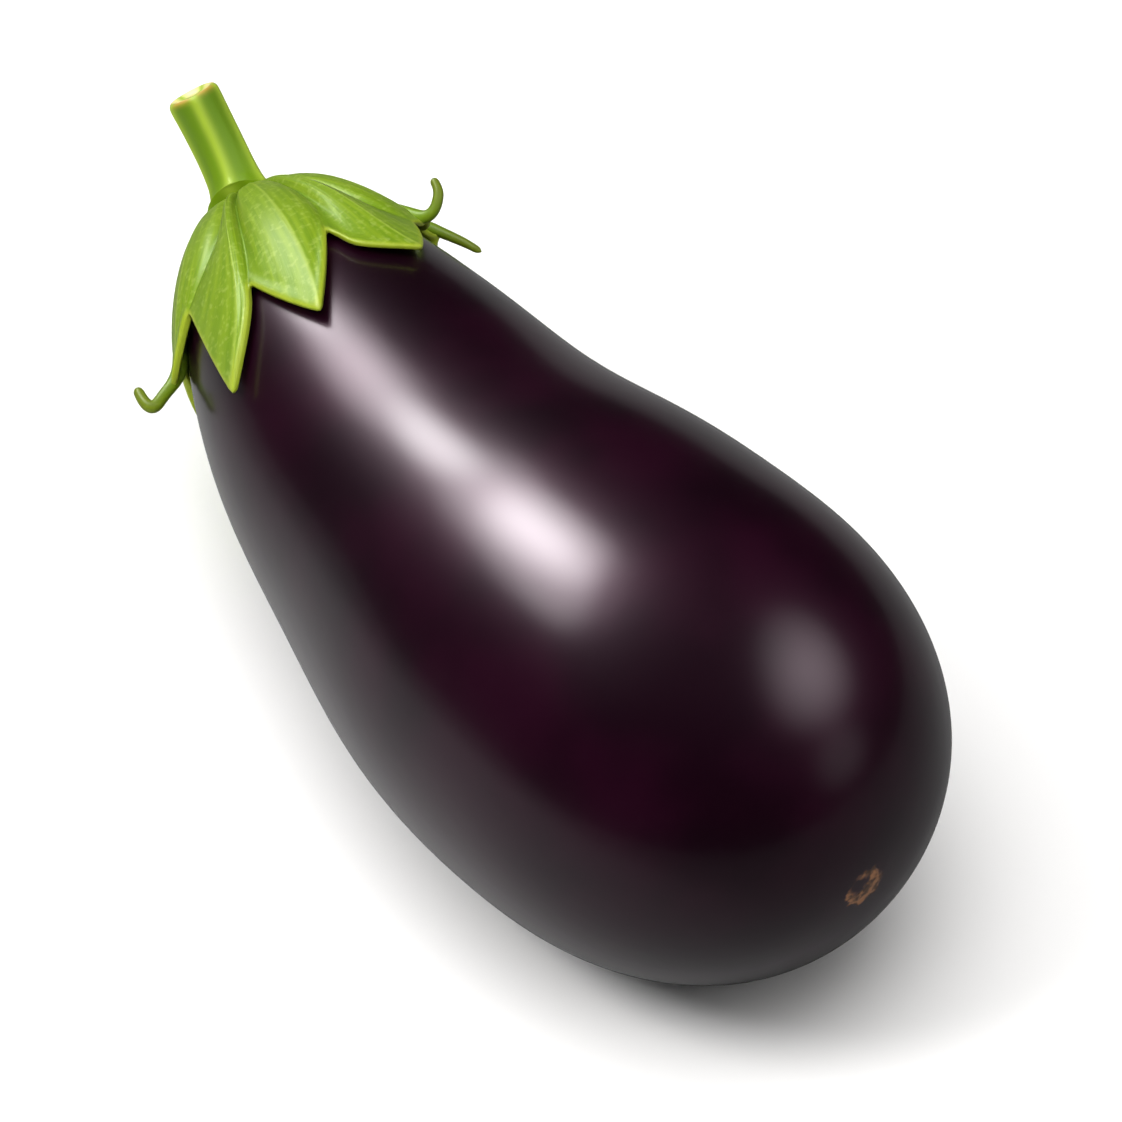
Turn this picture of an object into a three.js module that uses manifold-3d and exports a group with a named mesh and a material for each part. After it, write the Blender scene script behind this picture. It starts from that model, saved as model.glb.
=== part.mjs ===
// A globe eggplant lying on its side: the fruit, its calyx and its cut stem, three closed solids.
// Millimetres, +Z up. The bulb's own axis runs along +Y, from the blossom end to the stem end, and the neck
// bends up and towards +X. The origin is on the resting surface, under the middle of the whole object.
import * as THREE from 'three';
import { mergeVertices } from 'three/addons/utils/BufferGeometryUtils.js';
import Module from 'manifold-3d';

// ---- Driving dimensions: the fruit ----
const BULB_RADIUS = 46;
const FRUIT_LENGTH = 191; // blossom end to crown, along the bulb's axis
const WIDEST_AT = 57; // blossom end to the widest ring
const BLOSSOM_POWER = 2.2; // a superellipse of this power closes the blossom end: 2 would be an ellipse
const NECK_OUTLINE = [ // distance from the blossom end, radius
  [WIDEST_AT, BULB_RADIUS], [88, 43.9], [114, 38.1], [141, 33.1], [167, 25.2], [190, 16.4], [196, 14],
];
const CROWN_FROM = 160; // from here the shoulder rounds off towards the crown
const CROWN_POWER = 2.8;
const AXIS_DIP = 5.5; // degrees that the bulb's axis drops towards the stem end
const NECK_BEND = 29; // how far the neck's end stands off the bulb's axis
const NECK_BEND_AT = 190; // the distance from the blossom end where it does
const NECK_BEND_TURN = 44; // degrees from straight up, towards +X
const FLAT_DEPTH = 2; // how much of the round underside the flat spot takes off

// ---- Driving dimensions: the calyx ----
const SKIN_GAP = 0.4; // between the calyx and the skin under it
const CALYX_THICKNESS = 1.6;
const EDGE_THICKNESS = 1;
const SEAT_RADIUS = 6.6; // the flat seat under the stem
const SEAT_HEIGHT = 1.5; // above the crown
const SEAT_BLEND = 0.42; // share of a lobe's length that the slope up to the seat takes

// Each lobe: the notch before it and its tip, as degrees round the neck from straight up, positive towards +X,
// and distance from the blossom end; how far the tip curls off the skin; and the power of each side's outline,
// where under 1 is a bulging side and over 1 a hollow one.
const LOBES = [
  { notch: [-108, 168], tip: [-91, 158], curl: 5, sides: [0.8, 0.9] },
  { notch: [-65, 167], tip: [-55, 142], curl: 0.6, sides: [1.5, 0.66] },
  { notch: [-33, 160], tip: [-18, 142.5], curl: 0.6, sides: [0.95, 0.95] },
  { notch: [2, 163], tip: [25, 149.5], curl: 0.6, sides: [0.35, 0.8] },
  { notch: [39, 161], tip: [51, 156], curl: 5, sides: [0.7, 0.7] },
  { notch: [68, 168], tip: [77, 160], curl: 4, sides: [0.8, 0.5] },
  { notch: [122, 164], tip: [155, 146], curl: 0.6, sides: [0.7, 0.7] },
  { notch: [188, 164], tip: [208, 148], curl: 0.6, sides: [0.7, 1.4] },
];

// ---- Driving dimensions: the stem ----
const STEM_GAP = 0.3; // between the stem and its seat
const STEM_RADIUS = 4.9;
const STEM_FLARE = 1.5; // added to the radius at the seat
const FLARE_LENGTH = 3.5; // over which the flare falls to a third
const STEM_STRAIGHT = 4.8; // leaves the seat along the neck's axis towards a point this far on
const STEM_REACH = 18.5; // and ends this far past that point
const STEM_RISE = 49; // degrees above level at the cut end
const STEM_HEADING = 2.5; // degrees that the cut end points off +Y, towards -X
const STEM_RIDGES = 5;
const RIDGE_HEIGHT = 0.25;

// ---- Mesh steps ----
const FRUIT_COLUMNS = 40;
const BLOSSOM_ROWS = 8;
const BODY_ROWS = 12;
const CROWN_ROWS = 6;
const LOBE_COLUMNS = 4; // on each side of a lobe
const CALYX_ROWS = 10;
const STEM_COLUMNS = 20;
const STEM_ROWS = 9;

const UP = new THREE.Vector3(0, 0, 1);
const radians = THREE.MathUtils.degToRad;

// ---- The fruit's surface ----

// Radius of the neck and body: a smooth curve through the outline, level at the widest ring.
function outlineRadius(distance) {
  const last = NECK_OUTLINE.length - 1;
  const slope = (i) => {
    if (i === 0) return 0;
    const [before, after] = [NECK_OUTLINE[i - 1], NECK_OUTLINE[Math.min(i + 1, last)]];
    return (after[1] - before[1]) / (after[0] - before[0]);
  };
  let i = 0;
  while (i < last - 1 && distance > NECK_OUTLINE[i + 1][0]) i += 1;
  const [start, end] = [NECK_OUTLINE[i], NECK_OUTLINE[i + 1]];
  const span = end[0] - start[0];
  const t = (distance - start[0]) / span;
  return (2 * t ** 3 - 3 * t ** 2 + 1) * start[1] + (t ** 3 - 2 * t ** 2 + t) * span * slope(i)
    + (3 * t ** 2 - 2 * t ** 3) * end[1] + (t ** 3 - t ** 2) * span * slope(i + 1);
}

function fruitRadius(distance) {
  if (distance < WIDEST_AT) {
    return BULB_RADIUS * (1 - (1 - distance / WIDEST_AT) ** BLOSSOM_POWER) ** (1 / BLOSSOM_POWER);
  }
  const crown = THREE.MathUtils.clamp((distance - CROWN_FROM) / (FRUIT_LENGTH - CROWN_FROM), 0, 1);
  return outlineRadius(distance) * Math.sqrt(1 - crown ** CROWN_POWER);
}

const bulbAxis = new THREE.Vector3(0, Math.cos(radians(AXIS_DIP)), -Math.sin(radians(AXIS_DIP)));
const bulbSide = new THREE.Vector3().crossVectors(bulbAxis, UP).normalize();
const bulbTop = new THREE.Vector3().crossVectors(bulbSide, bulbAxis);
const bendWay = new THREE.Vector3()
  .addScaledVector(bulbTop, Math.cos(radians(NECK_BEND_TURN)))
  .addScaledVector(bulbSide, Math.sin(radians(NECK_BEND_TURN)));

// The centre line is straight through the bulb and a parabola along the neck.
function centreAt(distance) {
  const along = Math.max(distance - WIDEST_AT, 0) / (NECK_BEND_AT - WIDEST_AT);
  return new THREE.Vector3()
    .addScaledVector(bulbAxis, distance)
    .addScaledVector(bendWay, NECK_BEND * along ** 2);
}

function tangentAt(distance) {
  const run = NECK_BEND_AT - WIDEST_AT;
  const along = Math.max(distance - WIDEST_AT, 0) / run;
  return bulbAxis.clone().addScaledVector(bendWay, (2 * NECK_BEND * along) / run).normalize();
}

// A direction square to the axis, at an angle round it from straight up, positive towards +X.
function spoke(axis, degrees) {
  const side = new THREE.Vector3().crossVectors(axis, UP).normalize();
  const top = new THREE.Vector3().crossVectors(side, axis);
  return top.multiplyScalar(Math.cos(radians(degrees))).addScaledVector(side, Math.sin(radians(degrees)));
}

function skinPoint(distance, degrees) {
  return centreAt(distance).addScaledVector(spoke(tangentAt(distance), degrees), fruitRadius(distance));
}

function skinNormal(distance, degrees) {
  const step = 0.05;
  const at = THREE.MathUtils.clamp(distance, step, FRUIT_LENGTH - 2 * step);
  const along = skinPoint(at + step, degrees).sub(skinPoint(at - step, degrees));
  const around = skinPoint(at, degrees + 0.5).sub(skinPoint(at, degrees - 0.5));
  return around.cross(along).normalize();
}

const aboveSkin = (distance, degrees, height) => (
  skinPoint(distance, degrees).addScaledVector(skinNormal(distance, degrees), height));

// ---- Solids ----

// One closed body from rings of points, each with the same number of points, closed by a point at each end.
function loft(firstPoint, rings, lastPoint) {
  const columns = rings[0].length;
  const points = [firstPoint, ...rings.flat(), lastPoint];
  const last = points.length - 1;
  const faces = [];
  for (let column = 0; column < columns; column += 1) {
    const next = (column + 1) % columns;
    faces.push(0, 1 + next, 1 + column);
    for (let row = 0; row < rings.length - 1; row += 1) {
      const [here, above] = [1 + row * columns, 1 + (row + 1) * columns];
      faces.push(here + column, here + next, above + next, here + column, above + next, above + column);
    }
    const end = 1 + (rings.length - 1) * columns;
    faces.push(last, end + column, end + next);
  }
  const geometry = new THREE.BufferGeometry().setFromPoints(points);
  geometry.setIndex(faces);
  return geometry;
}

const steps = (count, place) => Array.from({ length: count }, (unused, i) => place(i));

function fruitGeometry() {
  const stations = [
    ...steps(BLOSSOM_ROWS, (i) => WIDEST_AT * ((i + 1) / BLOSSOM_ROWS) ** 2),
    ...steps(BODY_ROWS, (i) => WIDEST_AT + (CROWN_FROM - WIDEST_AT) * ((i + 1) / BODY_ROWS)),
    ...steps(CROWN_ROWS - 1, (i) => (
      FRUIT_LENGTH - (FRUIT_LENGTH - CROWN_FROM) * (1 - (i + 1) / CROWN_ROWS) ** 2)),
  ];
  const rings = stations.map((distance) => (
    steps(FRUIT_COLUMNS, (column) => skinPoint(distance, (360 * column) / FRUIT_COLUMNS))));
  return loft(centreAt(0), rings, centreAt(FRUIT_LENGTH));
}

// The calyx edge, notch to tip to notch, as a list of columns round the neck.
function calyxColumns() {
  return LOBES.flatMap((lobe, i) => {
    const next = LOBES[(i + 1) % LOBES.length];
    const [tipAngle, tipAt] = lobe.tip;
    const turn = i === LOBES.length - 1 ? 360 : 0;
    const column = (notch, share, power) => {
      const out = share ** power;
      return {
        angle: notch[0] + (tipAngle - notch[0]) * share,
        edge: notch[1] + (tipAt - notch[1]) * out,
        notchAt: notch[1],
        tipAt,
        curl: lobe.curl,
      };
    };
    const endNotch = [next.notch[0] + turn, next.notch[1]];
    return [
      ...steps(LOBE_COLUMNS, (k) => column(lobe.notch, k / LOBE_COLUMNS, lobe.sides[0])),
      ...steps(LOBE_COLUMNS, (k) => column(endNotch, 1 - k / LOBE_COLUMNS, lobe.sides[1])),
    ];
  });
}

// A pointed cup over the fruit's shoulder. Its lobes lie on the skin and curl off it towards their tips.
function calyxGeometry() {
  const columns = calyxColumns();
  const curlAt = (column, distance) => {
    const out = Math.max(column.notchAt - distance, 0) / (column.notchAt - column.tipAt);
    return column.curl * out ** 3;
  };
  const ring = (share, thickness) => columns.map((column) => {
    const distance = FRUIT_LENGTH - (FRUIT_LENGTH - column.edge) * share ** 2;
    return aboveSkin(distance, column.angle, SKIN_GAP + thickness + curlAt(column, distance));
  });
  const crown = centreAt(FRUIT_LENGTH);
  const axis = tangentAt(FRUIT_LENGTH);
  const seatCentre = crown.clone().addScaledVector(axis, SEAT_HEIGHT + SKIN_GAP);
  const seatRing = columns.map((column) => (
    seatCentre.clone().addScaledVector(spoke(axis, column.angle), SEAT_RADIUS)));
  const outerRings = steps(CALYX_ROWS, (i) => {
    const share = SEAT_BLEND + (1 - SEAT_BLEND) * (i / (CALYX_ROWS - 1));
    return ring(share, i === CALYX_ROWS - 1 ? EDGE_THICKNESS : CALYX_THICKNESS);
  });
  const innerRings = steps(CALYX_ROWS, (i) => ring(1 - i / CALYX_ROWS, 0));
  const innerCrown = crown.clone().addScaledVector(axis, SKIN_GAP);
  return loft(innerCrown, [...innerRings.reverse(), ...outerRings.reverse(), seatRing], seatCentre);
}

// A ridged stalk that leaves its seat along the neck and curves upwards to a square cut.
function stemGeometry() {
  const axis = tangentAt(FRUIT_LENGTH);
  const [rise, heading] = [radians(STEM_RISE), radians(90 + STEM_HEADING)];
  const cutAxis = new THREE.Vector3(
    Math.cos(rise) * Math.cos(heading), Math.cos(rise) * Math.sin(heading), Math.sin(rise));
  const base = centreAt(FRUIT_LENGTH).addScaledVector(axis, SKIN_GAP + SEAT_HEIGHT + STEM_GAP);
  const bend = base.clone().addScaledVector(axis, STEM_STRAIGHT);
  const cut = bend.clone().addScaledVector(cutAxis, STEM_REACH);
  const route = new THREE.QuadraticBezierCurve3(base, bend, cut);
  const length = route.getLength();
  const rings = steps(STEM_ROWS, (row) => {
    const share = row / (STEM_ROWS - 1);
    const middle = route.getPointAt(share);
    const way = route.getTangentAt(share);
    const radius = STEM_RADIUS + STEM_FLARE * Math.exp((-share * length) / FLARE_LENGTH);
    return steps(STEM_COLUMNS, (column) => {
      const degrees = (360 * column) / STEM_COLUMNS;
      const ridge = RIDGE_HEIGHT * Math.cos(radians(degrees * STEM_RIDGES));
      return middle.clone().addScaledVector(spoke(way, degrees), radius + ridge);
    });
  });
  return loft(base, rings, cut);
}

// ---- Flat spot ----

const wasm = await Module();
wasm.setup();

function toSolid(geometry) {
  const bare = geometry.clone();
  bare.deleteAttribute('normal');
  bare.deleteAttribute('uv');
  const merged = mergeVertices(bare);
  return new wasm.Manifold(new wasm.Mesh({
    numProp: 3,
    vertProperties: new Float32Array(merged.attributes.position.array),
    triVerts: new Uint32Array(merged.index.array),
  }));
}

function toGeometry(solid) {
  const mesh = solid.getMesh();
  const geometry = new THREE.BufferGeometry();
  geometry.setAttribute('position', new THREE.BufferAttribute(new Float32Array(mesh.vertProperties), 3));
  geometry.setIndex(new THREE.BufferAttribute(new Uint32Array(mesh.triVerts), 1));
  return geometry;
}

// The round underside loses a thin slice, so that the fruit lies on a small level face.
function withFlatSpot(geometry) {
  geometry.computeBoundingBox();
  const { min, max } = geometry.boundingBox;
  const size = max.clone().sub(min);
  const slab = new THREE.BoxGeometry(2 * size.x, 2 * size.y, size.z);
  slab.translate((min.x + max.x) / 2, (min.y + max.y) / 2, min.z + FLAT_DEPTH - size.z / 2);
  return toGeometry(toSolid(geometry).subtract(toSolid(slab)));
}

// ---- The object ----

function piece(name, geometry, color, roughness) {
  geometry.computeVertexNormals();
  const mesh = new THREE.Mesh(geometry, new THREE.MeshStandardMaterial({ color, roughness, metalness: 0 }));
  mesh.name = name;
  return mesh;
}

const eggplant = new THREE.Group();
eggplant.add(piece('fruit', withFlatSpot(fruitGeometry()), 0x1f0a17, 0.15));
eggplant.add(piece('calyx', calyxGeometry(), 0x8db833, 0.55));
eggplant.add(piece('stem', stemGeometry(), 0x7ea42c, 0.6));

const bounds = new THREE.Box3().setFromObject(eggplant);
const middle = bounds.getCenter(new THREE.Vector3());
eggplant.position.set(-middle.x, -middle.y, -bounds.min.z);
eggplant.updateMatrixWorld(true);

export default eggplant;
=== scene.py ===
import math

import bmesh
import bpy
import numpy as np
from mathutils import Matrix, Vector


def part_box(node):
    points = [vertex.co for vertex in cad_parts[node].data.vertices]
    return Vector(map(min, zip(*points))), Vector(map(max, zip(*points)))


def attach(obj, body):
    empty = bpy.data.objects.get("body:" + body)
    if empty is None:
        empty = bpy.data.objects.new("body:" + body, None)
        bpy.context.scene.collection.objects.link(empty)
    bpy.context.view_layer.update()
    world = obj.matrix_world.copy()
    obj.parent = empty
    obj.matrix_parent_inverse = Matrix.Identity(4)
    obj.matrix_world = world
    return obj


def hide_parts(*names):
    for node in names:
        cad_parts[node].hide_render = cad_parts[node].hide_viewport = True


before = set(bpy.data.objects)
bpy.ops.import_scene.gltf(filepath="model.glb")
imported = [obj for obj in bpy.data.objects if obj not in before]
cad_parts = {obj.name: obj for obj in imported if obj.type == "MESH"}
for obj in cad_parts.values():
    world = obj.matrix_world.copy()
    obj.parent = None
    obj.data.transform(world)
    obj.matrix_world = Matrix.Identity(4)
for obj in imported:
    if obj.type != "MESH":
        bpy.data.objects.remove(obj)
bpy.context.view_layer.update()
bpy.ops.object.select_all(action="DESELECT")

MM = 0.001  # the eggplant is drawn in millimetres and laid down in metres
UP = np.array([0.0, 0.0, 1.0])

# ---- The fruit's sizes, the same as the solid's ----
BULB_RADIUS = 46
FRUIT_LENGTH = 191  # blossom end to crown, along the bulb's axis
WIDEST_AT = 57  # blossom end to the widest ring
BLOSSOM_POWER = 2.2  # a superellipse of this power closes the blossom end: 2 would be an ellipse
NECK_OUTLINE = [  # distance from the blossom end, radius
    (WIDEST_AT, BULB_RADIUS), (88, 43.9), (114, 38.1), (141, 33.1), (167, 25.2), (190, 16.4), (196, 14),
]
CROWN_FROM = 160  # from here the shoulder rounds off towards the crown
CROWN_POWER = 2.8
AXIS_DIP = 5.5  # degrees that the bulb's axis drops towards the stem end
NECK_BEND = 29  # how far the neck's end stands off the bulb's axis
NECK_BEND_AT = 190  # the distance from the blossom end where it does
NECK_BEND_TURN = 44  # degrees from straight up, towards +X
RIM_DEPTH = 0.8  # the soft rim round the flat spot underneath

# ---- The calyx ----
SKIN_GAP = 0.4
FLESH = 1.3  # how thick a sepal is in its middle
MARGIN = 1.0  # and at its edge
EDGE_LIFT = 0.8  # how far the edges stand off the skin
PLUMPNESS = 1.7  # how far a sepal swells between its seams
RIB_HEIGHT = 0.25
SEAM_DEPTH = 0.7
ROLLED_EDGE = 0.25
# Each lobe: the notch before it and its tip, as degrees round the neck from straight up and distance from
# the blossom end; how far the seam up from the notch swings round; how far the tip curls off the skin; and
# the power of each side's outline.
LOBES = [
    {"notch": (-108, 168), "swing": 25, "tip": (-91, 161), "curl": 1.6, "sides": (0.8, 0.9)},
    {"notch": (-65, 167), "swing": 31, "tip": (-55, 142), "curl": 0.5, "sides": (1.5, 0.66)},
    {"notch": (-33, 160), "swing": 6, "tip": (-18, 142.5), "curl": 0.5, "sides": (0.95, 0.95)},
    {"notch": (2, 163), "swing": 8, "tip": (25, 149.5), "curl": 0.5, "sides": (0.35, 0.8)},
    {"notch": (39, 161), "swing": -17, "tip": (51, 163), "curl": 1.5, "sides": (0.7, 0.7)},
    {"notch": (68, 168), "swing": -20, "tip": (77, 166), "curl": 2.5, "sides": (0.8, 0.5)},
    {"notch": (122, 164), "swing": 0, "tip": (155, 146), "curl": 0.5, "sides": (0.7, 0.7)},
    {"notch": (188, 164), "swing": 0, "tip": (208, 148), "curl": 0.5, "sides": (0.7, 1.4)},
]
# The drawn-out tips of three lobes: distance, degrees, height off the skin and thickness at each stop.
CURLED_TIPS = [
    [(167, -90, 1.2, 1.4), (164.5, -92, 1.6, 1.5), (162, -92, 3.2, 1.3), (160, -92, 5.3, 1.2),
     (158.3, -92, 7.3, 1.25), (159.3, -92, 8.9, 1.15), (162.2, -92, 9.9, 0.95)],
    [(169, 48, 1.6, 1.3), (165.5, 48.5, 2.3, 1.4), (163, 48.5, 3.4, 1.25), (162.2, 48.5, 5.3, 1.1),
     (162.6, 48.5, 7.2, 1.05), (163.6, 48.5, 8.8, 0.95), (165.6, 48.5, 10.1, 0.8)],
    [(172, 74, 2.4, 1.2), (169, 75, 3.6, 1.2), (165.5, 75, 4.3, 1.05), (162, 75, 5, 0.9),
     (158, 75, 5.5, 0.65)],
]

# ---- The stem ----
STEM_RADIUS = 4.9
STEM_STRAIGHT = 7  # leaves the crown along the neck's axis towards a point this far on
STEM_REACH = 18.5  # and ends this far past that point
FOOT_SHIFT = 1.6  # the stem leaves the crown off its middle
FOOT_WAY = -55
STEM_RISE = 49  # degrees above level at the cut end
STEM_HEADING = 2.5  # degrees that the cut end points off +Y, towards -X
STEM_RIDGES = 5
# Turning the ridges also moves the painted highlight that runs along the pale ridges.
RIDGE_TURN = -8
RIDGE_HEIGHT = 0.42
STEM_COLOURS = [  # share of the way along and colour: the foot, the shaft, the dry rim and the paler cut
    (0, "#6b8810"), (0.15, "#5d7c08"), (0.9, "#55750a"), (0.95, "#97812f"), (1, "#c09a4c"), (1, "#d6d088"),
]
# Share of the way along the stem, radius and ridge height at each ring: the foot that spreads over the
# crown, and the cut end, with a dry rim round a shallow hollow.
STEM_FOOT = [
    (-0.16, 5.6, 0), (-0.1, 7.8, 0.1), (-0.04, 7.3, 0.2), (0.03, 6.7, 0.35), (0.1, 6.2, 0.5),
    (0.2, 5.75, 0.5),
]
STEM_END = [
    (0.985, STEM_RADIUS + 0.2, 0.3), (0.998, STEM_RADIUS - 0.05, 0.15), (1.003, STEM_RADIUS - 0.5, 0.1),
    (0.999, STEM_RADIUS - 0.95, 0.05), (0.985, STEM_RADIUS - 1.35, 0), (0.98, STEM_RADIUS - 2, 0),
    (0.983, 1.5, 0), (0.984, 0.4, 0),
]

# ---- The scar where the flower was: a crescent, which is a patch with a second patch taken off it ----
SCAR_AT = 0.13  # distance from the blossom end
SCAR_ROUND = -151  # degrees round
SCAR_SIZE = (4.2, 3.4)  # from bare skin to full cork
HOLLOW_SIZE = (1.4, 2.6)  # from bare skin to full cork
HOLLOW_SHIFT = np.array([-0.6, 0, 0.8]) * 1.9

# ---- Camera ----
CAMERA_AZIMUTH = -131.4  # degrees round from +X, and degrees above level
CAMERA_HEIGHT = 48
CAMERA_DISTANCE = 900
LENS = 163.6
AIM_RIGHT = -15.5  # where it looks: off the middle of the bulb, to its right and up
AIM_UP = 26.9
AIM_HEIGHT = 40  # above the floor, before going up


# ======== The shape of the fruit ========

def smooth_curve(stops, values, at, level_start=False):
    """A curve through the values at the stops whose bend changes evenly: a cubic spline."""
    stops, values, at = np.array(stops, float), np.array(values, float), np.asarray(at, float)
    gaps = np.diff(stops)
    slopes = (np.diff(values, axis=0).T / gaps).T
    system = np.eye(len(stops))
    wanted = np.zeros_like(values)
    if level_start:
        system[0, :2] = 2 * gaps[0], gaps[0]
        wanted[0] = 6 * slopes[0]
    for i in range(1, len(stops) - 1):
        system[i, i - 1:i + 2] = gaps[i - 1], 2 * (gaps[i - 1] + gaps[i]), gaps[i]
        wanted[i] = 6 * (slopes[i] - slopes[i - 1])
    bend = np.linalg.solve(system, wanted)
    i = np.clip(np.searchsorted(stops, at) - 1, 0, len(gaps) - 1)
    before, after = at - stops[i], stops[i + 1] - at
    if values.ndim > 1:
        before, after, gap = before[..., None], after[..., None], gaps[i][..., None]
    else:
        gap = gaps[i]
    return ((bend[i] * after**3 + bend[i + 1] * before**3) / (6 * gap)
            + (values[i] / gap - bend[i] * gap / 6) * after
            + (values[i + 1] / gap - bend[i + 1] * gap / 6) * before)


def outline_radius(distance):
    """Radius of the body and neck: a smooth curve through the outline, level at the widest ring."""
    stops, radii = zip(*NECK_OUTLINE)
    return smooth_curve(stops, radii, distance, level_start=True)


def fruit_radius(distance):
    blossom = np.clip(1 - distance / WIDEST_AT, 0, 1)
    end = BULB_RADIUS * (1 - blossom**BLOSSOM_POWER) ** (1 / BLOSSOM_POWER)
    crown = np.clip((distance - CROWN_FROM) / (FRUIT_LENGTH - CROWN_FROM), 0, 1)
    body = outline_radius(np.maximum(distance, WIDEST_AT)) * np.sqrt(1 - crown**CROWN_POWER)
    return np.where(distance < WIDEST_AT, end, body)


def unit(vector):
    return vector / np.linalg.norm(vector, axis=-1, keepdims=True)


dip = math.radians(AXIS_DIP)
turn = math.radians(NECK_BEND_TURN)
bulb_axis = np.array([0, math.cos(dip), -math.sin(dip)])
bulb_side = unit(np.cross(bulb_axis, UP))
bend_way = math.cos(turn) * np.cross(bulb_side, bulb_axis) + math.sin(turn) * bulb_side


def along_neck(distance):
    return np.maximum(np.asarray(distance, float) - WIDEST_AT, 0) / (NECK_BEND_AT - WIDEST_AT)


def centre_at(distance):
    """The centre line: straight through the bulb and a parabola along the neck."""
    distance = np.asarray(distance, float)
    return distance[..., None] * bulb_axis + (NECK_BEND * along_neck(distance) ** 2)[..., None] * bend_way


def tangent_at(distance):
    rise = 2 * NECK_BEND * along_neck(distance) / (NECK_BEND_AT - WIDEST_AT)
    return unit(bulb_axis + rise[..., None] * bend_way)


def spoke(axis, degrees):
    """A direction square to the axis, at an angle round it from straight up, positive towards +X."""
    side = unit(np.cross(axis, UP))
    angle = np.radians(degrees)[..., None]
    return np.cos(angle) * np.cross(side, axis) + np.sin(angle) * side


def skin_point(distance, degrees):
    distance, degrees = np.broadcast_arrays(np.asarray(distance, float), np.asarray(degrees, float))
    return centre_at(distance) + fruit_radius(distance)[..., None] * spoke(tangent_at(distance), degrees)


def skin_normal(distance, degrees):
    step = 0.05
    at = np.clip(distance, step, FRUIT_LENGTH - 2 * step)
    along = skin_point(at + step, degrees) - skin_point(at - step, degrees)
    around = skin_point(at, degrees + 0.5) - skin_point(at, degrees - 0.5)
    return unit(np.cross(around, along))


def above_skin(distance, degrees, height):
    distance, degrees, height = np.broadcast_arrays(distance, degrees, height)
    return skin_point(distance, degrees) + height[..., None] * skin_normal(distance, degrees)


# Where the drawing lies in the row's frame: its skin meets the far corner of the solid's box.
every_way = np.linspace(0, 360, 180, endpoint=False)
drawn = skin_point(np.linspace(0, FRUIT_LENGTH, 400)[:, None], every_way)
PLACE = np.array(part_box("fruit")[1]) / MM - drawn.reshape(-1, 3).max(axis=0)


def laid_down(points):
    return (np.asarray(points) + PLACE) * MM


# ======== Making pieces ========

def loft(name, rings):
    """A closed piece: a circle extruded ring by ring, each ring laid at its place, and both ends filled."""
    bpy.ops.object.select_all(action="DESELECT")
    bpy.ops.mesh.primitive_circle_add(vertices=len(rings[0]), radius=MM)
    piece = bpy.context.object
    piece.name = name
    bpy.ops.object.mode_set(mode="EDIT")
    bpy.ops.mesh.select_all(action="SELECT")
    shape = bmesh.from_edit_mesh(piece.data)
    shape.verts.ensure_lookup_table()
    ring = {}
    for order, vert in enumerate(shape.verts):
        vert.co = laid_down(rings[0][order])
        ring[vert.index] = order
    for places in rings[1:]:
        places = laid_down(places)
        bpy.ops.mesh.extrude_region()
        shape = bmesh.from_edit_mesh(piece.data)
        shape.verts.index_update()
        grown = {}
        for vert in shape.verts:
            if vert.select:
                root = next(ring[edge.other_vert(vert).index] for edge in vert.link_edges
                            if edge.other_vert(vert).index in ring)
                vert.co = places[root]
                grown[vert.index] = root
        ring = grown
    bpy.ops.mesh.select_all(action="SELECT")
    bpy.ops.mesh.fill_holes(sides=0)
    bpy.ops.mesh.normals_make_consistent(inside=False)
    bpy.ops.object.mode_set(mode="OBJECT")
    return piece


def apply_modifier(piece, kind, **settings):
    bpy.ops.object.select_all(action="DESELECT")
    piece.select_set(True)
    bpy.context.view_layer.objects.active = piece
    modifier = piece.modifiers.new(kind.title(), kind)
    for name, value in settings.items():
        setattr(modifier, name, value)
    bpy.ops.object.modifier_apply(modifier=modifier.name)


def smooth_finish(piece, levels):
    apply_modifier(piece, "SUBSURF", levels=levels, render_levels=levels, use_limit_surface=False)
    piece.data.polygons.foreach_set("use_smooth", [True] * len(piece.data.polygons))


# ======== Fruit ========

def make_fruit():
    blossom = WIDEST_AT * (np.arange(1, 12) / 12) ** 2
    body = np.linspace(WIDEST_AT, CROWN_FROM, 13)
    crown = FRUIT_LENGTH - (FRUIT_LENGTH - CROWN_FROM) * (1 - np.arange(1, 9) / 8.2) ** 2
    columns = np.linspace(0, 360, 48, endpoint=False)
    rings = [skin_point(distance, columns) for distance in np.concatenate([[0.03], blossom, body, crown])]
    fruit = loft("eggplant_fruit", rings)
    smooth_finish(fruit, 3)
    level_underside(fruit)
    return fruit


def level_underside(fruit):
    """The skin sinks into a small flat spot where the fruit lies, with a soft rim round it."""
    rim = RIM_DEPTH * MM
    for vert in fruit.data.vertices:
        if vert.co.z < rim:
            vert.co.z = rim * max(0, 1 - (rim - vert.co.z) / (2 * rim)) ** 2


# ======== Calyx ========

def calyx_columns(per_side):
    """The calyx edge, notch to tip to notch, as columns round the neck."""
    columns = []
    for i, lobe in enumerate(LOBES):
        following = LOBES[(i + 1) % len(LOBES)]
        end = (following["notch"][0] + (360 if i == len(LOBES) - 1 else 0), following["notch"][1])
        tip_angle, tip_at = lobe["tip"]
        tip_swing = (lobe["notch"][0] + lobe["swing"] + end[0] + following["swing"]) / 2 - tip_angle
        sides = ((lobe["notch"], lobe["swing"]), (end, following["swing"]))
        for side, ((notch, swing), power) in enumerate(zip(sides, lobe["sides"])):
            for k in range(per_side):
                share = k / per_side if side == 0 else 1 - k / per_side
                columns.append((
                    notch[0] + (tip_angle - notch[0]) * share,
                    notch[1] + (tip_at - notch[1]) * share**power,
                    notch[1],
                    tip_at,
                    lobe["curl"],
                    share,
                    swing + (tip_swing - swing) * share,
                ))
    return [np.array(values, float) for values in zip(*columns)]


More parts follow.
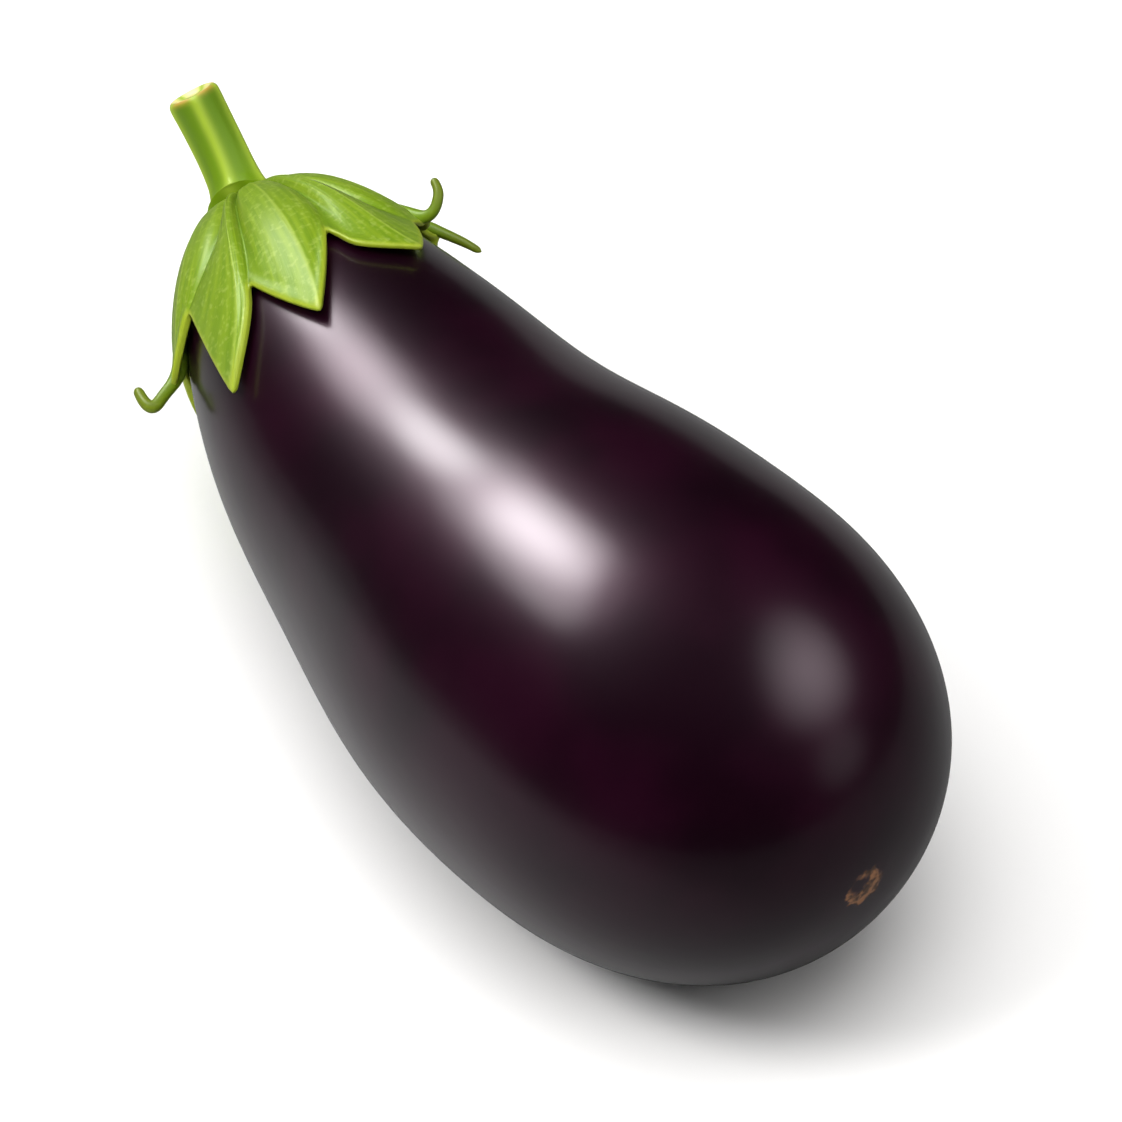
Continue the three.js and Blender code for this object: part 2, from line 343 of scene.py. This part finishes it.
def edge_reach(distance, angle, edge_at, edge_angle):
    """How far, over the skin, each place is from the nearest point of the calyx edge."""
    turns = np.radians((angle[:, None] - edge_angle + 180) % 360 - 180)
    sideways = turns * fruit_radius(distance)[:, None]
    return np.hypot(distance[:, None] - edge_at, sideways).min(axis=1)


def make_calyx():
    angle, edge, notch_at, tip_at, curl, share, swing = calyx_columns(8)
    middle = 1 - share  # 0 on a lobe's midrib, 1 on the seam between two lobes
    fine_angle, fine_edge = calyx_columns(60)[:2]
    marks = []  # for each ring: across the lobe, down the lobe, and distance from the edge

    def row(down, thickness):
        distance = FRUIT_LENGTH - (FRUIT_LENGTH - edge) * down**2
        out = np.maximum(notch_at - distance, 0) / (notch_at - tip_at + 0.01)
        lift = curl * out**3 + EDGE_LIFT * down**5
        return above_skin(distance, angle + swing * (1 - down**6), SKIN_GAP + lift + thickness)

    def mark(down):
        distance = FRUIT_LENGTH - (FRUIT_LENGTH - edge) * down**2
        turned = angle + swing * (1 - down**6)
        to_edge = edge_reach(distance, turned, fine_edge, fine_angle)
        marks.append((middle, np.full(len(angle), down), to_edge))
        return to_edge

    def outer(down):
        to_edge = mark(down)
        grow = min(1, 3 * down)
        plump = PLUMPNESS * (1 - middle**2.4) * math.sin(math.pi * down**1.6) ** 0.8
        rib = RIB_HEIGHT * np.exp(-((middle / 0.1) ** 2)) * grow * (1 - down**6)
        seam = SEAM_DEPTH * np.exp(-(((1 - middle) / 0.13) ** 2)) * grow * (1 - down**8)
        rolled_edge = (ROLLED_EDGE * np.exp(-(((to_edge - 0.6) / 0.5) ** 2))
                       - 0.15 * np.exp(-(((to_edge - 1.8) / 0.7) ** 2)))
        return row(down, FLESH + (MARGIN - FLESH) * down**5 + plump + rib - seam + rolled_edge)

    def inner(down):
        mark(down)
        return row(down, 0)

    def rim(thickness):
        mark(1)
        return row(1, thickness)

    rings = [inner(down) for down in np.linspace(0.06, 0.99, 12)]
    rings += [rim(0.15), rim(MARGIN * 0.6), rim(MARGIN)]
    rings += [outer(down) for down in np.linspace(0.985, 0.06, 36)]
    calyx = loft("eggplant_calyx", rings)
    sepal = calyx.data.attributes.new("sepal", "FLOAT_VECTOR", "POINT")
    sepal.data.foreach_set("vector", np.array(marks).transpose(0, 2, 1).ravel())
    smooth_finish(calyx, 1)
    tips = [make_tip(f"curled_tip_{i + 1}", stops) for i, stops in enumerate(CURLED_TIPS)]
    bpy.ops.object.select_all(action="DESELECT")
    for piece in (*tips, calyx):
        piece.select_set(True)
    bpy.context.view_layer.objects.active = calyx
    bpy.ops.object.join()
    return calyx


def make_tip(name, stops):
    """A lobe's drawn-out tip: a tapering round cord along a smooth path, with a rounded end."""
    distance, degrees, height, thickness = np.array(stops, float).T
    path = above_skin(distance, degrees, height)
    along = np.linspace(0, len(stops) - 1, 8 * len(stops))
    spine = smooth_curve(range(len(stops)), path, along)
    radius = smooth_curve(range(len(stops)), thickness, along)
    rounding = np.clip((len(stops) - 1 - along) / 0.35, 0, 1)
    radius = radius * np.sqrt(1 - (1 - rounding) ** 2) + 0.02
    ways = unit(np.gradient(spine, axis=0))
    side = unit(np.cross(ways[0], UP))
    columns = np.radians(np.linspace(0, 360, 12, endpoint=False))[:, None]
    rings = []
    for centre, way, size in zip(spine, ways, radius):
        side = unit(side - way * side.dot(way))
        top = np.cross(side, way)
        rings.append(centre + size * (np.cos(columns) * side + np.sin(columns) * top))
    tip = loft(name, rings)
    down = np.linspace(0.9, 1, len(rings)).repeat(12)
    marks = np.stack([1.2 + 2 * (down - 0.9), down, np.full(len(down), 1.5)], axis=-1)
    sepal = tip.data.attributes.new("sepal", "FLOAT_VECTOR", "POINT")
    sepal.data.foreach_set("vector", marks.ravel())
    smooth_finish(tip, 1)
    return tip


# ======== Stem ========

def make_stem():
    """A ridged stalk that leaves the crown along the neck and curves upwards to a square cut.

    Each point is marked with how near a ridge it is and how far along the stem.
    """
    axis = tangent_at(FRUIT_LENGTH)
    rise, heading = math.radians(STEM_RISE), math.radians(90 + STEM_HEADING)
    cut_axis = np.array([
        math.cos(rise) * math.cos(heading), math.cos(rise) * math.sin(heading), math.sin(rise)])
    crown = centre_at(FRUIT_LENGTH)
    bend = crown + axis * STEM_STRAIGHT
    base = crown + spoke(axis, np.array(FOOT_WAY)) * FOOT_SHIFT
    cut = bend + cut_axis * STEM_REACH
    columns = np.linspace(0, 360, 80, endpoint=False)
    nearest_ridge = np.abs((columns + RIDGE_TURN) % (360 / STEM_RIDGES) - 180 / STEM_RIDGES)
    ridges = np.exp(-((nearest_ridge / 13) ** 2))

    def ring(share, radius, ridge):
        middle = (1 - share) ** 2 * base + 2 * share * (1 - share) * bend + share**2 * cut
        way = unit((1 - share) * (bend - base) + share * (cut - bend))
        return middle + (radius - 0.15 + ridge * ridges)[:, None] * spoke(way, columns)

    foot = [ring(*stop) for stop in STEM_FOOT]
    shaft = []
    for share in np.linspace(0.3, 0.965, 12):
        spread = 0.45 * math.exp(-(share - 0.3) / 0.14) + 0.25 * share**6
        shaft.append(ring(share, STEM_RADIUS + spread, RIDGE_HEIGHT))
    end = [ring(*stop) for stop in STEM_END]
    rings = [*foot, *shaft, *end]
    stem = loft("eggplant_stem", rings)
    along = np.concatenate([
        np.linspace(start, finish, len(part))
        for part, start, finish in ((foot, 0, 0.15), (shaft, 0.2, 0.9), (end, 0.92, 1.2))])
    every_along = along.repeat(len(columns))
    marks = np.stack([np.tile(ridges, len(rings)), every_along, np.zeros_like(every_along)], axis=-1)
    stalk = stem.data.attributes.new("stalk", "FLOAT_VECTOR", "POINT")
    stalk.data.foreach_set("vector", marks.ravel())
    smooth_finish(stem, 1)
    return stem


# ======== Materials ========

def colour(hex_code):
    """An sRGB hex colour as linear RGBA."""
    channels = [int(hex_code[i:i + 2], 16) / 255 for i in (1, 3, 5)]
    return (*[c / 12.92 if c <= 0.04045 else ((c + 0.055) / 1.055) ** 2.4 for c in channels], 1)


def add_node(tree, kind, settings=None, **inputs):
    """Adds a node, sets its settings, and gives each named input its value or its link."""
    node = tree.nodes.new(kind)
    for name, value in (settings or {}).items():
        setattr(node, name, value)
    for name, value in inputs.items():
        socket = node.inputs[int(name[1:])] if name[1:].isdigit() else node.inputs[name.replace("_", " ")]
        if isinstance(value, bpy.types.NodeSocket):
            tree.links.new(value, socket)
        else:
            socket.default_value = value
    return node


def new_material(name):
    material = bpy.data.materials.new(name)
    material.use_nodes = True
    material.node_tree.nodes.clear()
    return material, material.node_tree


def finish_material(piece, material, shader):
    tree = material.node_tree
    add_node(tree, "ShaderNodeOutputMaterial", Surface=shader.outputs[0])
    piece.data.materials.clear()
    piece.data.materials.append(material)


EASED = {"interpolation_type": "SMOOTHSTEP"}  # settings of a range that starts and ends gently
COLOURS = {"data_type": "RGBA"}  # settings of a mix of colours: share in 0, colours in 6 and 7, result 2


def skin_material(piece):
    """Near-black purple skin under a clear wax, with a small corky scar where the flower was."""
    material, tree = new_material("eggplant_skin")
    where = add_node(tree, "ShaderNodeTexCoord").outputs["Object"]
    crinkle = add_node(tree, "ShaderNodeTexNoise", Vector=where, Scale=650, Detail=2)  # about 1.5 mm
    centred = add_node(
        tree, "ShaderNodeVectorMath", {"operation": "SUBTRACT"}, _0=crinkle.outputs["Color"],
        _1=(0.5, 0.5, 0.5))
    shaken = add_node(
        tree, "ShaderNodeVectorMath", {"operation": "MULTIPLY_ADD"}, _0=centred.outputs[0],
        _1=(3 * MM, 3 * MM, 3 * MM), _2=where)
    scar = skin_point(SCAR_AT, SCAR_ROUND)
    reach = [
        add_node(tree, "ShaderNodeVectorMath", {"operation": "DISTANCE"}, _0=shaken.outputs[0],
                 _1=tuple(laid_down(place))).outputs["Value"]
        for place in (scar, scar + HOLLOW_SHIFT)]
    inside, outside = [
        add_node(tree, "ShaderNodeMapRange", EASED, Value=value, From_Min=bare * MM,
                 From_Max=full * MM).outputs["Result"]
        for value, (bare, full) in zip(reach, (SCAR_SIZE, HOLLOW_SIZE))]
    corky = add_node(tree, "ShaderNodeMath", {"operation": "MULTIPLY"}, _0=inside, _1=outside).outputs[0]
    grain = add_node(
        tree, "ShaderNodeMapRange", EASED, Value=crinkle.outputs["Fac"], From_Min=0.4, From_Max=0.6)
    cork = add_node(
        tree, "ShaderNodeMix", COLOURS, _0=grain.outputs["Result"], _6=colour("#3f2c19"),
        _7=colour("#7a5230"))
    depth = add_node(tree, "ShaderNodeTexNoise", Vector=where, Scale=35, Detail=2)  # about 3 cm
    paler = add_node(
        tree, "ShaderNodeMapRange", EASED, Value=depth.outputs["Fac"], From_Min=0.35, From_Max=0.65)
    purple = add_node(
        tree, "ShaderNodeMix", COLOURS, _0=paler.outputs["Result"], _6=colour("#0f0209"),
        _7=colour("#1a0310"))
    skin_and_scar = add_node(
        tree, "ShaderNodeMix", COLOURS, _0=corky, _6=purple.outputs[2], _7=cork.outputs[2])
    roughness = add_node(tree, "ShaderNodeMapRange", EASED, Value=corky, To_Min=0.32, To_Max=0.75)
    unevenness = add_node(tree, "ShaderNodeTexNoise", Vector=where, Scale=90, Detail=2)  # about 1 cm
    bump = add_node(tree, "ShaderNodeBump", Strength=0.05, Distance=MM, Height=unevenness.outputs["Fac"])
    shader = add_node(
        tree, "ShaderNodeBsdfPrincipled", Base_Color=skin_and_scar.outputs[2],
        Roughness=roughness.outputs["Result"], IOR=1.32, Specular_Tint=colour("#f9d2e8"),
        Coat_Weight=1, Coat_Roughness=0.16, Coat_IOR=1.25, Normal=bump.outputs["Normal"])
    finish_material(piece, material, shader)


def calyx_material(piece):
    """Fresh green flesh: streaked along each sepal, with a pale midrib, yellow-green rolled edges and
    painted shade in the seams between sepals.
    """
    material, tree = new_material("calyx_flesh")
    marks = add_node(tree, "ShaderNodeAttribute", {"attribute_name": "sepal"}).outputs["Vector"]
    parts = add_node(tree, "ShaderNodeSeparateXYZ", Vector=marks).outputs
    across, to_edge = parts["X"], parts["Z"]
    where = add_node(tree, "ShaderNodeTexCoord").outputs["Object"]
    streak_place = add_node(tree, "ShaderNodeVectorMath", {"operation": "MULTIPLY"}, _0=marks, _1=(8, 4, 0))
    streaks = add_node(tree, "ShaderNodeTexNoise", Vector=streak_place.outputs[0], Scale=1, Detail=3)
    blotches = add_node(tree, "ShaderNodeTexNoise", Vector=where, Scale=160, Detail=3)  # about 6 mm
    speckles = add_node(tree, "ShaderNodeTexNoise", Vector=where, Scale=900, Detail=1)  # about 1 mm

    green = colour("#617f13")
    for value, low, high, strength, code in (
        (streaks.outputs["Fac"], 0.3, 0.75, 1, "#7a931e"),
        (blotches.outputs["Fac"], 0.4, 0.7, 0.6, "#6c8718"),
        (speckles.outputs["Fac"], 0.5, 0.75, 0.25, "#a9b960"),
        (across, 0.07, 0, 0.4, "#9bae4a"),  # the midrib
        # Painted shade: the seams between sepals are coloured darker, where the grooves between them are
        # shaded.
        (across, 0.86, 1, 0.4, "#43660c"),  # the seams
        (to_edge, 1.1, 0.2, 0.6, "#98a32c"),  # the rolled edges
        (across, 1.2, 1.4, 1, "#5d6a16"),  # the ends of the curled tips
    ):
        share = add_node(
            tree, "ShaderNodeMapRange", EASED, Value=value, From_Min=low, From_Max=high, To_Max=strength)
        green = add_node(
            tree, "ShaderNodeMix", COLOURS, _0=share.outputs["Result"], _6=green,
            _7=colour(code)).outputs[2]
    fibres = add_node(
        tree, "ShaderNodeBump", Strength=0.12, Distance=0.6 * MM, Height=streaks.outputs["Fac"])
    shader = add_node(
        tree, "ShaderNodeBsdfPrincipled", Base_Color=green, Roughness=0.38, IOR=1.26,
        Normal=fibres.outputs["Normal"])
    finish_material(piece, material, shader)


def stem_material(piece):
    """A green stalk: ridges mixed towards a pale green, partly their own colour and partly a painted
    highlight, over darker hollows, and a dry tan rim round the paler cut.
    """
    material, tree = new_material("stem_rind")
    marks = add_node(tree, "ShaderNodeAttribute", {"attribute_name": "stalk"}).outputs["Vector"]
    parts = add_node(tree, "ShaderNodeSeparateXYZ", Vector=marks).outputs
    ridge, along = parts["X"], parts["Y"]
    ramp = add_node(tree, "ShaderNodeValToRGB", Fac=along)
    elements = ramp.color_ramp.elements
    elements.remove(elements[1])
    elements[0].color = colour(STEM_COLOURS[0][1])
    for position, code in STEM_COLOURS[1:]:
        elements.new(position).color = colour(code)
    # Partly a painted highlight: the ridges are mixed towards a pale green, partly the stalk's own paler
    # ridges and partly the lit stripe that runs along them.
    green = add_node(
        tree, "ShaderNodeMix", COLOURS, _0=ridge, _6=ramp.outputs["Color"],
        _7=colour("#8fa630")).outputs[2]
    where = add_node(tree, "ShaderNodeTexCoord").outputs["Object"]
    mottle = add_node(tree, "ShaderNodeTexNoise", Vector=where, Scale=500, Detail=3)  # about 2 mm
    bump = add_node(tree, "ShaderNodeBump", Strength=0.3, Distance=0.4 * MM, Height=mottle.outputs["Fac"])
    shader = add_node(
        tree, "ShaderNodeBsdfPrincipled", Base_Color=green, Roughness=0.45, IOR=1.28,
        Normal=bump.outputs["Normal"])
    finish_material(piece, material, shader)


# ======== Pieces ========

fruit = make_fruit()
calyx = make_calyx()
stem = make_stem()
for piece, node, slot, dress in (
    (fruit, "fruit", "skin", skin_material),
    (calyx, "calyx", "calyx_green", calyx_material),
    (stem, "stem", "stem_green", stem_material),
):
    dress(piece)
    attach(piece, "root")
    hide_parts(node)


# ======== Stage, light and camera ========

scene = bpy.context.scene
scene.view_settings.view_transform = "Standard"

azimuth, height = math.radians(CAMERA_AZIMUTH), math.radians(CAMERA_HEIGHT)
towards_camera = Vector((
    math.cos(azimuth) * math.cos(height), math.sin(azimuth) * math.cos(height), math.sin(height)))
camera_right = Vector((0, 0, 1)).cross(towards_camera).normalized()
camera_up = towards_camera.cross(camera_right)
bulb_centre = Vector(laid_down(centre_at(WIDEST_AT)))
aim = (Vector((bulb_centre.x, bulb_centre.y, AIM_HEIGHT * MM))
       + camera_right * AIM_RIGHT * MM + camera_up * AIM_UP * MM)

camera = bpy.data.objects.new("camera", bpy.data.cameras.new("camera"))
scene.collection.objects.link(camera)
camera.data.lens = LENS
camera.data.sensor_width = 36
camera.location = aim + towards_camera * CAMERA_DISTANCE * MM
camera.rotation_mode = "QUATERNION"
camera.rotation_quaternion = towards_camera.to_track_quat("Z", "Y")
scene.camera = camera

forward = Vector((-towards_camera.x, -towards_camera.y, 0)).normalized()
FRUIT_MIDDLE = Vector((0, 0, 50 * MM))
FLOOR_RADIUS = 0.9
# Painted reflection: the skin's gloss sees a darker grey graded card in place of the white floor.
GLOSS_LIFT = 0.05 * MM  # how far over the floor its darker twin lies


def direction(height_degrees, right_degrees):
    """A way from the fruit, by height above level and turn to the right of the camera's view."""
    h, r = math.radians(height_degrees), math.radians(right_degrees)
    flat = forward * math.cos(r) + camera_right * math.sin(r)
    return flat * math.cos(h) + Vector((0, 0, math.sin(h)))


def softbox(name, height, right, distance, width, depth, radiance, core, gloss):
    """A diffused lamp facing the fruit: even out to its core and fading to nothing at its edge.

    It either shows in the gloss of the skin or lights the scene, so that each is balanced on its own.
    """
    data = bpy.data.lights.new(name, "AREA")
    data.shape = "RECTANGLE"
    data.size, data.size_y = width, depth
    data.energy = radiance * math.pi * width * depth
    data.use_nodes = True
    tree = data.node_tree
    tree.nodes.clear()
    place = add_node(tree, "ShaderNodeNewGeometry").outputs["Parametric"]
    middle = (0.5, 0.5, 0)
    away = add_node(tree, "ShaderNodeVectorMath", {"operation": "DISTANCE"}, _0=place, _1=middle)
    fade = add_node(
        tree, "ShaderNodeMapRange", EASED, Value=away.outputs["Value"], From_Min=0.5, From_Max=core / 2)
    shine = add_node(tree, "ShaderNodeEmission", Strength=fade.outputs["Result"])
    add_node(tree, "ShaderNodeOutputLight", Surface=shine.outputs[0])
    light = bpy.data.objects.new(name, data)
    scene.collection.objects.link(light)
    where = direction(height, right)
    light.location = FRUIT_MIDDLE + where * distance
    light.rotation_mode = "QUATERNION"
    light.rotation_quaternion = where.to_track_quat("Z", "Y")
    light.visible_camera = False
    light.visible_glossy = gloss
    light.visible_diffuse = not gloss


def make_floor():
    """A white card to lie on, and a darker grey card just over it that is all the gloss of the skin can
    see: a painted reflection of the floor, lighter in front and to the left and darker further off.

    Far from the fruit the white card fades into the white of the room.
    """
    cards = []
    for name, lift in (("floor", 0), ("floor_painted_in_the_gloss", GLOSS_LIFT)):
        bpy.ops.mesh.primitive_circle_add(
            vertices=128, radius=FLOOR_RADIUS, fill_type="NGON", location=(0, 0, lift))
        card = bpy.context.object
        card.name = name
        cards.append(card)
    floor, reflection_card = cards
    material, tree = new_material("white_card")
    spot = add_node(tree, "ShaderNodeTexCoord").outputs["Object"]
    far = add_node(tree, "ShaderNodeVectorMath", {"operation": "LENGTH"}, _0=spot).outputs["Value"]
    card_face = add_node(tree, "ShaderNodeBsdfDiffuse", Color=colour("#f0efee")).outputs[0]
    backdrop = add_node(tree, "ShaderNodeEmission", Strength=1.05).outputs[0]
    fade = add_node(tree, "ShaderNodeMapRange", EASED, Value=far, From_Min=0.28, From_Max=0.65)
    finish_material(floor, material, add_node(
        tree, "ShaderNodeMixShader", _0=fade.outputs["Result"], _1=card_face, _2=backdrop))
    floor.visible_glossy = False
    material, tree = new_material("painted_reflection_card")
    place = add_node(tree, "ShaderNodeTexCoord").outputs["Object"]
    # Painted reflection: the card's grey is painted lightest here and darker further off, to grade what the
    # skin reflects.
    near = tuple(-forward * 0.1 - camera_right * 0.16)  # the brightest place, in front and to the left
    away = add_node(tree, "ShaderNodeVectorMath", {"operation": "DISTANCE"}, _0=place, _1=near)
    fade = add_node(
        tree, "ShaderNodeMapRange", EASED, Value=away.outputs["Value"], From_Min=0.08, From_Max=0.3,
        To_Min=0.35, To_Max=0.13)
    card_face = add_node(tree, "ShaderNodeBsdfDiffuse", Color=fade.outputs["Result"])
    finish_material(reflection_card, material, card_face)
    reflection_card.visible_camera = False
    reflection_card.visible_diffuse = False
    reflection_card.visible_shadow = False


def make_room():
    """A white room that stands behind the fruit, and neither lights it nor shows in its gloss."""
    world = bpy.data.worlds.new("white_room")
    scene.world = world
    world.use_nodes = True
    background = world.node_tree.nodes["Background"]
    background.inputs["Color"].default_value = colour("#ffffff")
    background.inputs["Strength"].default_value = 1
    world.cycles_visibility.glossy = False
    world.cycles_visibility.diffuse = False


make_floor()
make_room()
# Degrees above level and to the right, distance, width, depth, radiance, and the share of it that is even.
softbox("overhead_fill", 85, -60, 1.3, 2.2, 2.2, 2.9, 0.6, gloss=False)
softbox("front_fill", 72, 180, 1.2, 1.4, 1.4, 2.1, 0.4, gloss=False)
softbox("right_fill", 45, 135, 1.0, 0.8, 0.8, 2.8, 0.2, gloss=False)
softbox("left_fill", 50, -110, 1.0, 0.45, 0.45, 20, 0.6, gloss=False)
softbox("key_lamp", 50.6, -46, 1.0, 0.66, 0.46, 34, 0, gloss=True)
softbox("key_glow", 50, -63, 1.0, 0.75, 0.5, 11, 0.3, gloss=True)
softbox("window_glow", 40.7, -44, 1.0, 0.8, 0.5, 8.5, 0.2, gloss=True)
softbox("low_strip", 26.7, -37.4, 1.07, 0.45, 0.5, 26, 0.1, gloss=True)
softbox("side_lamp", 44.6, 94, 1.0, 1.14, 0.95, 5.2, 0, gloss=True)
softbox("side_glow", 15, 114, 1.1, 0.7, 0.7, 0.8, 0.2, gloss=True)
